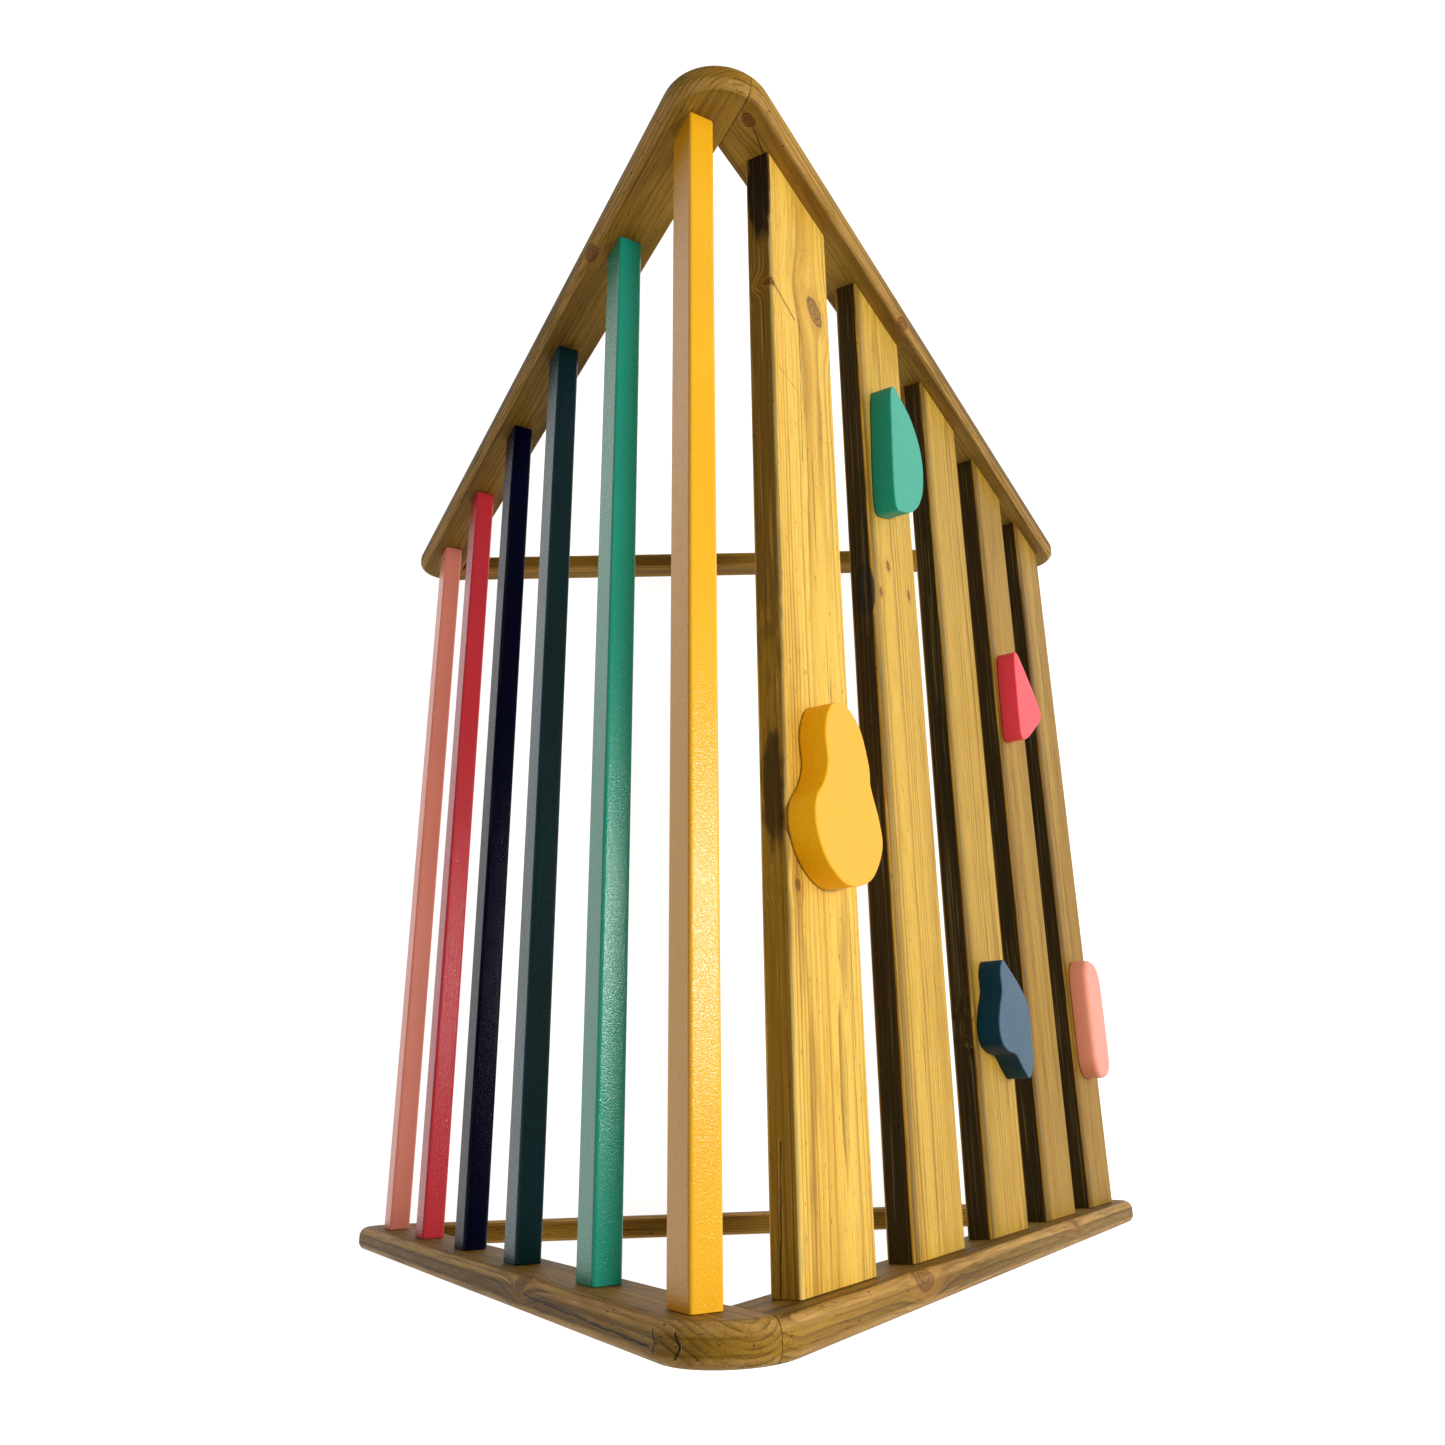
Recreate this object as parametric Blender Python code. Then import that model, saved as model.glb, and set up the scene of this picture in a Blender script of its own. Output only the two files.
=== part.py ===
"""A-frame climbing wall: two timber A-frames, joined by six painted rungs down one slope and five
planks with bolted-on wooden holds down the other.

Metres. +Z is up and the feet stand on Z = 0. +Y runs along the rungs, from the near frame to the
far one. The rungs are on the -X slope and the planks on the +X slope. The origin is on the
ground, under the ridge, half-way between the frames.
"""
import math

import bmesh
import bpy
from mathutils import Matrix, Vector

# ---- Driving dimensions -------------------------------------------------------------------------
CLEAR_LENGTH = 1.000         # between the two frames' inner faces
APEX_ANGLE = math.radians(56.9)
RIDGE_HEIGHT = 0.894         # from the ground to the point where the legs' inner edges meet

LEG_WIDTH = 0.063            # in the plane of the A
LEG_THICKNESS = 0.027
APEX_RADIUS = 0.055          # the rounded top of each frame
FOOT_RADIUS = 0.040          # the rounded outer corner of each foot
FOOT_SHARE = 0.95            # the most of a foot's width that its round takes
LEG_ARRIS = 0.010            # rounding of a frame's outer long edges

RAIL_HEIGHT = 0.038          # ground rail between a frame's two feet
RAIL_ARRIS = 0.006
TENON_HEIGHT = 0.022         # stub tenon on each end of the rail, glued into the leg
TENON_THICKNESS = 0.009
TENON_DEPTH = 0.022

RUNG_WIDTH = 0.038           # along the leg
RUNG_DEPTH = 0.025           # square to the leg
RUNG_SETBACK = 0.0216        # outer face of a rung, in from the legs' outer edges
RUNG_EASE = 0.003
RUNG_START = -0.025          # upper side of the first rung, down the leg from the inner apex
RUNG_FOOT = 0.0778           # from the last rung to the ground, down the leg
RUNG_STEPS = (0.175, 0.198, 0.182, 0.185, 0.186)    # in proportion, from each rung to the next
RUNG_COLOURS = ("yellow", "green", "teal", "navy", "red", "coral")

PLANK_COUNT = 5
PLANK_WIDTH = 0.127
PLANK_THICKNESS = 0.025
PLANK_SETBACK = 0.023
PLANK_EASE = 0.003
PLANK_START = 0.027          # upper side of the first plank, down the leg from the inner apex
PLANK_FOOT = 0.0428          # from the last plank to the ground, down the leg

HOLD_THICKNESS = 0.025
HOLD_ARRIS = 0.0015
HOLD_SOFT_ARRIS = 0.007      # the coral hold has a fuller rounding

SCREW_HEAD = 0.0042          # radii
SCREW_SHANK = 0.0021
SCREW_SIDES = 6
SCREW_POINT = 0.8            # share of a screw's length where its point starts
SCREW_RECESS = 0.0006        # top of a screw's head, below the face that it is driven into
FRAME_SCREW_LENGTH = 0.065   # through a leg into the end of a rung or plank
APEX_SCREW_LENGTH = 0.080
# Each screw through the apex: its share of the way up the seam between the legs, and how deep
# its head's top is under the rounded surface.
APEX_SCREWS = ((0.26, 0.0079), (0.578, 0.0019))
APEX_BORE_REACH = 0.0122     # a bore's open part, above the screw's head
PLANK_SCREW_SPREAD = 0.080

GAP = 0.0003                 # between touching pieces
ARC_STEPS = 9

HALF_ANGLE = APEX_ANGLE / 2
SIN, COS, TAN = math.sin(HALF_ANGLE), math.cos(HALF_ANGLE), math.tan(HALF_ANGLE)
OUTER_APEX = RIDGE_HEIGHT + LEG_WIDTH / SIN
HALF_LENGTH = CLEAR_LENGTH / 2
LEG_LENGTH = RIDGE_HEIGHT / COS           # a leg's inner edge, from the inner apex to the ground
RUNG_FACE = LEG_WIDTH - RUNG_SETBACK      # outer faces, out from the legs' inner edges
PLANK_FACE = LEG_WIDTH - PLANK_SETBACK
RUNG_RUN = LEG_LENGTH - RUNG_START - RUNG_WIDTH - RUNG_FOOT
RUNG_STATIONS = [RUNG_START + RUNG_RUN * sum(RUNG_STEPS[:count]) / sum(RUNG_STEPS)
                 for count in range(len(RUNG_COLOURS))]
PLANK_PITCH = (LEG_LENGTH - PLANK_START - PLANK_WIDTH - PLANK_FOOT) / (PLANK_COUNT - 1)

# Each hold: its colour, the number of its plank, its centre below the plank's middle line and
# along Y, its front arris, and the points that its outline runs smoothly through, in millimetres
# down the slope and along Y.
HOLDS = (
    ("yellow", 1, -0.0005, -0.136, HOLD_ARRIS,
     ((0, 77), (29, 65), (45, 36), (47, 16), (61, -9), (65, -34), (40, -64),
      (0, -77), (-28, -74), (-52, -60), (-64, -39), (-62, -19), (-47, -2), (-38, 17),
      (-40, 44), (-27, 68))),
    ("green", 2, -0.0025, 0.292, HOLD_ARRIS,
     ((-26, 81), (-5, 77), (22, 68), (44, 46), (51, 18), (44, -16), (26, -43),
      (0, -64), (-28, -77), (-42, -80), (-47, -66), (-46, -30), (-42, 20), (-37, 66))),
    ("teal", 3, 0.0005, -0.288, HOLD_ARRIS,
     ((-24, 60), (-6, 55), (30, 39), (56, 22), (62, 2), (59, -20), (59, -42),
      (40, -60), (18, -52), (-4, -38), (-30, -35), (-50, -28), (-57, -12), (-49, 8),
      (-36, 27), (-36, 46))),
    ("red", 4, 0.0085, 0.140, HOLD_ARRIS,
     ((-46, 62), (-30, 64), (26, 35), (54, 17), (63, 7), (54, -5), (22, -25),
      (-12, -46), (-42, -60), (-57, -58), (-59, -40), (-57, 5), (-53, 48))),
    ("coral", 5, -0.0015, -0.261, HOLD_SOFT_ARRIS,
     ((0, 79), (26, 74), (41, 56), (44, 20), (44, -30), (41, -60), (26, -75),
      (0, -79), (-26, -75), (-40, -60), (-42, -30), (-42, 20), (-40, 56), (-26, 74))),
)
HOLD_STEPS = 3               # straight pieces between two of an outline's points

MATERIALS = {
    "treated_timber": ((0.36, 0.24, 0.09), 0.60, 0.0),
    "plank_timber": ((0.52, 0.36, 0.13), 0.55, 0.0),
    "paint_yellow": ((0.93, 0.50, 0.06), 0.35, 0.0),
    "paint_green": ((0.03, 0.30, 0.17), 0.35, 0.0),
    "paint_teal": ((0.010, 0.040, 0.060), 0.35, 0.0),
    "paint_navy": ((0.006, 0.006, 0.035), 0.35, 0.0),
    "paint_red": ((0.55, 0.035, 0.045), 0.35, 0.0),
    "paint_coral": ((0.78, 0.24, 0.15), 0.35, 0.0),
    "screw_steel": ((0.45, 0.42, 0.36), 0.40, 1.0),
}


def material(name):
    """The named material, made when it is first asked for."""
    found = bpy.data.materials.get(name)
    if found:
        return found
    colour, roughness, metallic = MATERIALS[name]
    made = bpy.data.materials.new(name)
    made.use_nodes = True
    shader = made.node_tree.nodes["Principled BSDF"]
    shader.inputs["Base Color"].default_value = (*colour, 1.0)
    shader.inputs["Roughness"].default_value = roughness
    shader.inputs["Metallic"].default_value = metallic
    return made


# ---- Outlines: closed lists of (u, v) points ------------------------------------------------------
def arc(centre, radius, start, end):
    """Points on a circle from the angle start to the angle end."""
    angles = [start + (end - start) * i / ARC_STEPS for i in range(ARC_STEPS + 1)]
    return [(centre[0] + radius * math.cos(t), centre[1] + radius * math.sin(t)) for t in angles]


def eased_rectangle(u0, u1, v0, v1, ease):
    """Rectangle with a small arc of two chords at each corner."""
    points = []
    corners = ((u1 - ease, v1 - ease, 0), (u0 + ease, v1 - ease, 90),
               (u0 + ease, v0 + ease, 180), (u1 - ease, v0 + ease, 270))
    for u, v, turn in corners:
        for step in (0, 45, 90):
            t = math.radians(turn + step)
            points.append((u + ease * math.cos(t), v + ease * math.sin(t)))
    return points


def smooth_outline(points):
    """Closed curve through points in millimetres (Catmull-Rom), in metres."""
    count = len(points)
    out = []
    for i in range(count):
        p0, p1, p2, p3 = (Vector(points[(i + k) % count]) for k in (-1, 0, 1, 2))
        for step in range(HOLD_STEPS):
            t = step / HOLD_STEPS
            p = 0.5 * (2 * p1 + (p2 - p0) * t + (2 * p0 - 5 * p1 + 4 * p2 - p3) * t ** 2
                       + (3 * p1 - p0 - 3 * p2 + p3) * t ** 3)
            out.append((p.x / 1000, p.y / 1000))
    return out


# ---- Solids ---------------------------------------------------------------------------------------
def add_object(name, bm, place, paint):
    """Object from a finished bmesh, with its faces outward and its material set."""
    bmesh.ops.recalc_face_normals(bm, faces=bm.faces)
    mesh = bpy.data.meshes.new(name)
    bm.to_mesh(mesh)
    bm.free()
    mesh.materials.append(material(paint))
    obj = bpy.data.objects.new(name, mesh)
    obj.matrix_world = place
    bpy.context.scene.collection.objects.link(obj)
    return obj


def extruded(name, outline, low, high, place, paint, arris=0.0, rounded=(), caps=(0, 1)):
    """Solid with the closed outline as its plan, between the planes w = low and w = high.

    The outline's edges whose numbers are in rounded, on the low cap, the high cap or both, get
    an arris of the given radius.
    """
    bm = bmesh.new()
    rings = [[bm.verts.new((u, v, w)) for u, v in outline] for w in (low, high)]
    count = len(outline)
    for ring in rings:
        bm.faces.new(ring)
    for i in range(count):
        j = (i + 1) % count
        bm.faces.new((rings[0][i], rings[0][j], rings[1][j], rings[1][i]))
    if rounded:
        edges = [bm.edges.get((rings[cap][i], rings[cap][(i + 1) % count]))
                 for cap in caps for i in rounded]
        bmesh.ops.recalc_face_normals(bm, faces=bm.faces)
        bmesh.ops.bevel(bm, geom=edges, offset=arris, segments=3, profile=0.5,
                        affect="EDGES", clamp_overlap=True)
    return add_object(name, bm, place, paint)


def turned(bm, profile, sides, place):
    """Adds a solid turned about local Z from a profile of (radius, z) that starts and ends on it."""
    ends = [bm.verts.new(place @ Vector((0, 0, z))) for _, z in (profile[0], profile[-1])]
    rings = [[bm.verts.new(place @ Vector((r * math.cos(2 * math.pi * i / sides),
                                           r * math.sin(2 * math.pi * i / sides), z)))
              for i in range(sides)] for r, z in profile[1:-1]]
    for i in range(sides):
        j = (i + 1) % sides
        bm.faces.new((ends[0], rings[0][i], rings[0][j]))
        bm.faces.new((ends[1], rings[-1][j], rings[-1][i]))
        for upper, lower in zip(rings, rings[1:]):
            bm.faces.new((upper[i], lower[i], lower[j], upper[j]))


def hidden(obj):
    """Keeps a cutter or other helper out of the model."""
    obj.hide_render = True
    obj.display_type = "WIRE"
    return obj


def screws(name, places, length):
    """Countersunk screws, driven along local +Z from the places' origins, where their heads' tops
    are. Each screw is its own object, and all share one mesh. Gives the cutter for their bores.
    """
    neck = SCREW_HEAD - SCREW_SHANK
    profile = ((0, 0), (SCREW_HEAD, 0), (SCREW_SHANK, neck), (SCREW_SHANK, SCREW_POINT * length),
               (0, length))
    head, shank = SCREW_HEAD + 2 * GAP, SCREW_SHANK + GAP
    bore = ((0, -APEX_BORE_REACH), (head, -APEX_BORE_REACH), (head, GAP),
            (shank, head - shank + GAP), (shank, length + GAP), (0, length + GAP))
    bm = bmesh.new()
    turned(bm, profile, SCREW_SIDES, Matrix.Identity(4))
    first = add_object(f"{name}_1", bm, places[0], "screw_steel")
    for number, place in enumerate(places[1:], 2):
        copy = bpy.data.objects.new(f"{name}_{number}", first.data)
        copy.matrix_world = place
        bpy.context.scene.collection.objects.link(copy)
    bm = bmesh.new()
    for place in places:
        turned(bm, bore, SCREW_SIDES, place)
    return hidden(add_object(f"{name}_bores", bm, Matrix.Identity(4), "screw_steel"))


def combine(pieces, other, operation="DIFFERENCE"):
    """Cuts the other object from every piece, or joins it to them."""
    for piece in pieces:
        boolean = piece.modifiers.new(other.name, "BOOLEAN")
        boolean.operation = operation
        boolean.object = other


# ---- Places: local axes are the columns -----------------------------------------------------------
def place_at(origin, x_axis, y_axis, z_axis):
    columns = [(*axis, 0) for axis in (x_axis, y_axis, z_axis)] + [(*origin, 1)]
    return Matrix(columns).transposed()


UP_Y = Vector((0, 1, 0))
INNER_APEX = Vector((0, 0, RIDGE_HEIGHT))
SLOPE = {"rung": Vector((-SIN, 0, -COS)), "plank": Vector((SIN, 0, -COS))}    # down each leg
OUTWARD = {"rung": Vector((-COS, 0, SIN)), "plank": Vector((COS, 0, SIN))}    # square to it
ENDS = {"near": -1, "far": 1}


def bar_place(side):
    """Local X down the leg, Y outward from it, Z along the rungs."""
    return place_at(INNER_APEX, SLOPE[side], OUTWARD[side], SLOPE[side].cross(OUTWARD[side]))


def on_leg(side, along, out, y):
    """World point: along the leg from the inner apex, out from its inner edge, at y."""
    return INNER_APEX + SLOPE[side] * along + OUTWARD[side] * out + UP_Y * y


def drive(origin, direction):
    """Place whose local +Z is the driving direction."""
    rotation = direction.to_track_quat("Z", "Y").to_matrix().to_4x4()
    return Matrix.Translation(origin) @ rotation


# ---- Frames ---------------------------------------------------------------------------------------
def leg_outline(side):
    """A leg's outline in the plane of the A, and the numbers of its outer edges.

    The outline goes from the foot's inner corner round the foot, up the outer edge and over the
    rounded apex to the seam. The rung-side leg runs through to the apex: the seam is its own
    inner edge, extended. The plank-side leg butts against it. The plank side is made mirrored.
    """
    apex_centre = (0, OUTER_APEX - APEX_RADIUS / SIN)
    slant = math.tan((math.pi / 2 - HALF_ANGLE) / 2)
    foot_round = min(FOOT_RADIUS, FOOT_SHARE * LEG_WIDTH / COS * slant)
    foot_centre = (-OUTER_APEX * TAN + foot_round / slant, foot_round)
    normal = math.pi - HALF_ANGLE
    gap = 0 if side == "rung" else GAP
    seam = math.acos((gap + (apex_centre[1] - RIDGE_HEIGHT) * SIN) / APEX_RADIUS) - HALF_ANGLE
    outline = [(-RIDGE_HEIGHT * TAN, 0)]
    outline += arc(foot_centre, foot_round, 1.5 * math.pi, normal)
    if side == "rung":
        outline += arc(apex_centre, APEX_RADIUS, normal, seam)
        return outline, range(len(outline) - 1)
    outline += arc(apex_centre, APEX_RADIUS, normal, math.pi - seam)
    rounded = range(len(outline) - 1)
    inner = gap / (2 * SIN * COS)      # down the plank-side leg's inner edge, clear of the seam
    outline.append((-inner * SIN, RIDGE_HEIGHT - inner * COS))
    return [(-u, v) for u, v in outline], rounded


def frame(end):
    """Both legs and the ground rail of one frame."""
    middle = ENDS[end] * (HALF_LENGTH + LEG_THICKNESS / 2)
    plane = place_at(UP_Y * middle, (1, 0, 0), (0, 0, 1), (0, -1, 0))
    half = LEG_THICKNESS / 2
    pieces = {}
    for side in SLOPE:
        outline, rounded = leg_outline(side)
        pieces[side] = extruded(f"leg_{side}_side_{end}", outline, -half, half, plane,
                                "treated_timber", LEG_ARRIS, rounded)
    bottom = RIDGE_HEIGHT * TAN - GAP / COS
    top = bottom - RAIL_HEIGHT * TAN
    trapezium = [(-bottom, 0), (bottom, 0), (top, RAIL_HEIGHT), (-top, RAIL_HEIGHT)]
    pieces["rail"] = extruded(f"ground_rail_{end}", trapezium, -half, half, plane,
                              "treated_timber", RAIL_ARRIS, (0, 2))
    return pieces


def tenon_bar(name, end, clearance):
    """Hidden bar through the rail, as wide as both tenons, with the clearance on every side."""
    middle = ENDS[end] * (HALF_LENGTH + LEG_THICKNESS / 2)
    plane = place_at(UP_Y * middle, (1, 0, 0), (0, 0, 1), (0, -1, 0))
    reach = (RIDGE_HEIGHT - RAIL_HEIGHT / 2) * TAN + TENON_DEPTH + clearance
    low, high = (RAIL_HEIGHT / 2 + sign * (TENON_HEIGHT / 2 + clearance) for sign in (-1, 1))
    half = TENON_THICKNESS / 2 + clearance
    corners = [(-reach, low), (reach, low), (reach, high), (-reach, high)]
    return hidden(extruded(f"{name}_{end}", corners, -half, half, plane, "treated_timber"))


def join_frame(end, pieces):
    """Screws through the apex, and stub tenons between the rail and the feet."""
    middle = ENDS[end] * (HALF_LENGTH + LEG_THICKNESS / 2)
    round_start, round_centre = (APEX_RADIUS - LEG_WIDTH) / TAN, LEG_WIDTH - APEX_RADIUS
    seam = math.sqrt(APEX_RADIUS ** 2 - round_centre ** 2) - round_start
    heads = []
    for share, sink in APEX_SCREWS:
        rise = max(share * seam + round_start, 0)
        surface = round_centre + math.sqrt(APEX_RADIUS ** 2 - rise ** 2)
        heads.append(drive(on_leg("rung", -share * seam, surface - sink, middle),
                           -OUTWARD["rung"]))
    legs = [pieces[side] for side in SLOPE]
    combine(legs, screws(f"apex_screw_{end}", heads, APEX_SCREW_LENGTH))
    combine(legs, tenon_bar("mortises", end, GAP))
    combine([pieces["rail"]], tenon_bar("tenons", end, 0), "UNION")


# ---- Rungs, planks and holds ----------------------------------------------------------------------
def rungs():
    """Six painted rungs, square-ended between the frames."""
    half = HALF_LENGTH - GAP
    return [extruded(f"rung_{number}_{colour}",
                     eased_rectangle(station, station + RUNG_WIDTH,
                                     RUNG_FACE - RUNG_DEPTH, RUNG_FACE, RUNG_EASE),
                     -half, half, bar_place("rung"), f"paint_{colour}")
            for number, (station, colour) in enumerate(zip(RUNG_STATIONS, RUNG_COLOURS), 1)]


def plank_station(number):
    return PLANK_START + PLANK_PITCH * (number - 1)


def planks():
    """Five planks, square-ended between the frames."""
    half = HALF_LENGTH - GAP
    return [extruded(f"plank_{number}",
                     eased_rectangle(plank_station(number), plank_station(number) + PLANK_WIDTH,
                                     PLANK_FACE - PLANK_THICKNESS, PLANK_FACE, PLANK_EASE),
                     -half, half, bar_place("plank"), "plank_timber")
            for number in range(1, PLANK_COUNT + 1)]


def holds():
    """Five painted holds, each flat against its plank."""
    for colour, number, below, y, arris, points in HOLDS:
        along = plank_station(number) + PLANK_WIDTH / 2 + below
        place = place_at(on_leg("plank", along, PLANK_FACE, y),
                         SLOPE["plank"], UP_Y, OUTWARD["plank"])
        outline = smooth_outline(points)
        extruded(f"hold_{colour}", outline, GAP, HOLD_THICKNESS, place,
                 f"paint_{colour}", arris, range(len(outline)), caps=(1,))


def bar_screws(name, end, side, centres, out, bars, leg):
    """Screws through a leg's outer face into the end grain of the bars at the centres."""
    y = ENDS[end] * (HALF_LENGTH + LEG_THICKNESS - SCREW_RECESS)
    places = [drive(on_leg(side, centre, out, y), -ENDS[end] * UP_Y) for centre in centres]
    combine(bars + [leg], screws(f"{name}_screw_{end}", places, FRAME_SCREW_LENGTH))


def spread(middles, width):
    return [middle + shift for middle in middles for shift in (-width / 2, width / 2)]


for old in list(bpy.data.objects):
    bpy.data.objects.remove(old, do_unlink=True)

bars, boards = rungs(), planks()
holds()
rung_middles = [station + RUNG_WIDTH / 2 for station in RUNG_STATIONS]
plank_middles = [plank_station(number) + PLANK_WIDTH / 2 for number in range(1, PLANK_COUNT + 1)]
plank_fixings = [middle + side * PLANK_SCREW_SPREAD / 2
                 for middle in plank_middles for side in (-1, 1)]
for end in ENDS:
    pieces = frame(end)
    join_frame(end, pieces)
    bar_screws("rung", end, "rung", rung_middles, RUNG_FACE - RUNG_DEPTH / 2,
               bars, pieces["rung"])
    bar_screws("plank", end, "plank", plank_fixings, PLANK_FACE - PLANK_THICKNESS / 2,
               boards, pieces["plank"])
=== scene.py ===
"""Looks of the A-frame climbing wall: stained timber frames and planks, painted rungs and holds.

Metres, +Z up. +Y runs along the rungs, the rungs are on the -X slope and the planks on +X.
"""
import math

import bpy
import numpy as np
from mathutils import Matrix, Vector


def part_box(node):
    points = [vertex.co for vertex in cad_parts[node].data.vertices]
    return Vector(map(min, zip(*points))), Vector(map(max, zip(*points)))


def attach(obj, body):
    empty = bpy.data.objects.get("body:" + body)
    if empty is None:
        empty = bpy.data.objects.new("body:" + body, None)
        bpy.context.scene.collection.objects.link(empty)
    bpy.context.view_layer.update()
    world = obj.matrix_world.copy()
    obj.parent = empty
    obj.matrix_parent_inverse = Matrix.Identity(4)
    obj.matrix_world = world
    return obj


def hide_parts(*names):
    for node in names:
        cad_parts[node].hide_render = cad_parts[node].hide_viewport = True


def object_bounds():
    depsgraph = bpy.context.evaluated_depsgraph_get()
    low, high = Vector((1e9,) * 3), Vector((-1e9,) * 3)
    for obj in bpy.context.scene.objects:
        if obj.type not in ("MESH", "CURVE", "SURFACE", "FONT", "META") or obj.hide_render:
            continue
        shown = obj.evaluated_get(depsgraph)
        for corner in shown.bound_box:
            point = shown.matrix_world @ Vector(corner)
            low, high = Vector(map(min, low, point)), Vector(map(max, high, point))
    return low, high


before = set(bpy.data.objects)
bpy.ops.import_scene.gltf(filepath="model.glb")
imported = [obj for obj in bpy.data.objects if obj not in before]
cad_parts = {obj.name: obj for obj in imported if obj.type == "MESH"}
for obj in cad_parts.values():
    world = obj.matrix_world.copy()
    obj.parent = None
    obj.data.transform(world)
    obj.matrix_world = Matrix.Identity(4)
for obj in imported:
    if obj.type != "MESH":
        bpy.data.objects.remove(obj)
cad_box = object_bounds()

# ---- Sizes of the wall ---------------------------------------------
HALF_ANGLE = math.radians(56.9) / 2
SIN, COS, TAN = math.sin(HALF_ANGLE), math.cos(HALF_ANGLE), math.tan(HALF_ANGLE)
HALF_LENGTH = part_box("leg_rung_side_far")[0].y          # to a frame's inner face
LEG_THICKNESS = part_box("leg_rung_side_far")[1].y - HALF_LENGTH
FRAME_MIDDLE = HALF_LENGTH + LEG_THICKNESS / 2
LEG_WIDTH = 0.063
APEX_RADIUS = 0.055
FOOT_RADIUS = 0.040
OUTER_APEX = cad_box[1].z - APEX_RADIUS + APEX_RADIUS / SIN
RIDGE_HEIGHT = OUTER_APEX - LEG_WIDTH / SIN             # where the legs' inner edges meet
SEAM_GAP = 0.0006                                       # between the two legs at the apex
OUTER_ARRIS, INNER_ARRIS, SEAM_ARRIS = 0.010, 0.0025, 0.0004
RAIL_HEIGHT, RAIL_ARRIS, RAIL_GAP = 0.038, 0.006, 0.0003

RUNG_WIDTH, RUNG_DEPTH, RUNG_EASE = 0.038, 0.025, 0.0030
PLANK_WIDTH, PLANK_THICKNESS, PLANK_EASE = 0.127, 0.025, 0.0028
HALF_PLANK = PLANK_THICKNESS / 2
BAR_END_EASE = 0.0006
HOLD_THICKNESS, HOLD_GAP, HOLD_FOOT_EASE = 0.025, 0.0003, 0.0003
HOLD_SCREW_REACH = 0.030                                # from a hold's middle to either screw
SCREW_HEAD, SCREW_PROUD, DRIVE_DEPTH = 0.0042, 0.0003, 0.0008
CAP_INSET, HOLD_INSET = 0.0006, 0.0012                  # from a rim's last ring to its flat cap

APEX = np.array([0.0, 0.0, RIDGE_HEIGHT])
ACROSS = np.array([0.0, 1.0, 0.0])
# Unit vectors down each slope and straight out of it.
DOWN = {"rung": np.array([-SIN, 0.0, -COS]), "plank": np.array([SIN, 0.0, -COS])}
OUT = {"rung": np.array([-COS, 0.0, SIN]), "plank": np.array([COS, 0.0, SIN])}
END_SIGN = {"near": -1, "far": 1}
RUNGS = ("yellow", "green", "teal", "navy", "red", "coral")  # from the ridge down

# Each hold: the number of its plank, its centre below the plank's middle line and along Y, its
# front arris, and the points that its outline runs smoothly through. The points alone are in
# millimetres, down the slope and along Y.
HOLDS = {
    "yellow": (1, -0.0005, -0.136, 0.0016,
               ((0, 77), (29, 65), (45, 36), (47, 16), (61, -9), (65, -34), (40, -64),
                (0, -77), (-28, -74), (-52, -60), (-64, -39), (-62, -19), (-47, -2), (-38, 17),
                (-40, 44), (-27, 68))),
    "green": (2, -0.0025, 0.292, 0.0016,
              ((-26, 81), (-5, 77), (22, 68), (44, 46), (51, 18), (44, -16), (26, -43),
               (0, -64), (-28, -77), (-42, -80), (-47, -66), (-46, -30), (-42, 20), (-37, 66))),
    "teal": (3, 0.0005, -0.288, 0.0016,
             ((-24, 60), (-6, 55), (30, 39), (56, 22), (62, 2), (59, -20), (59, -42),
              (40, -60), (18, -52), (-4, -38), (-30, -35), (-50, -28), (-57, -12), (-49, 8),
              (-36, 27), (-36, 46))),
    "red": (4, 0.0085, 0.140, 0.0016,
            ((-46, 62), (-30, 64), (26, 35), (54, 17), (63, 7), (54, -5), (22, -25),
             (-12, -46), (-42, -60), (-57, -58), (-59, -40), (-57, 5), (-53, 48))),
    "coral": (5, -0.0015, -0.261, 0.0070,
              ((0, 79), (26, 74), (41, 56), (44, 20), (44, -30), (41, -60), (26, -75),
               (0, -79), (-26, -75), (-40, -60), (-42, -30), (-42, 20), (-40, 56), (-26, 74))),
}


def srgb(red, green, blue):
    """Linear colour of a paint or stain that is named by its 0-255 display values."""
    shown = np.array([red, green, blue]) / 255.0
    linear = np.where(shown <= 0.04045, shown / 12.92, ((shown + 0.055) / 1.055) ** 2.4)
    return (*linear.tolist(), 1.0)


def toned(colour, factor, lift=0.0):
    """A linear colour made darker by factor and paler by lift."""
    return (*(min(1.0, factor * value + lift) for value in colour[:3]), 1.0)


def browned(colour, tone):
    """A plank's colour at its tone. Green and blue fall faster than red, so it browns too."""
    return tone * colour[0], tone ** 1.05 * colour[1], tone ** 1.45 * colour[2], 1.0


# ---- Node helpers --------------------------------------------------
def feed(tree, sockets, values):
    """Sets each named or numbered socket to its value, or links it where the value is a socket."""
    for key, value in values.items():
        if isinstance(value, bpy.types.NodeSocket):
            tree.links.new(value, sockets[key])
        else:
            sockets[key].default_value = value


def put(tree, kind, values=None, **settings):
    """New shader node with its settings and its inputs."""
    node = tree.nodes.new("ShaderNode" + kind)
    for name, value in settings.items():
        setattr(node, name, value)
    feed(tree, node.inputs, values or {})
    return node


def attribute(tree, name):
    return put(tree, "Attribute", attribute_name=name).outputs["Vector"]


def split(tree, vector):
    """The sockets X, Y and Z of a vector."""
    return put(tree, "SeparateXYZ", {0: vector}).outputs


def calc(tree, operation, *values, clamp=False):
    return put(tree, "Math", dict(enumerate(values)), operation=operation,
               use_clamp=clamp).outputs[0]


def vector_calc(tree, operation, *values):
    node = put(tree, "VectorMath", dict(enumerate(values)), operation=operation)
    return node.outputs["Value" if operation in ("LENGTH", "DOT_PRODUCT") else "Vector"]


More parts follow.
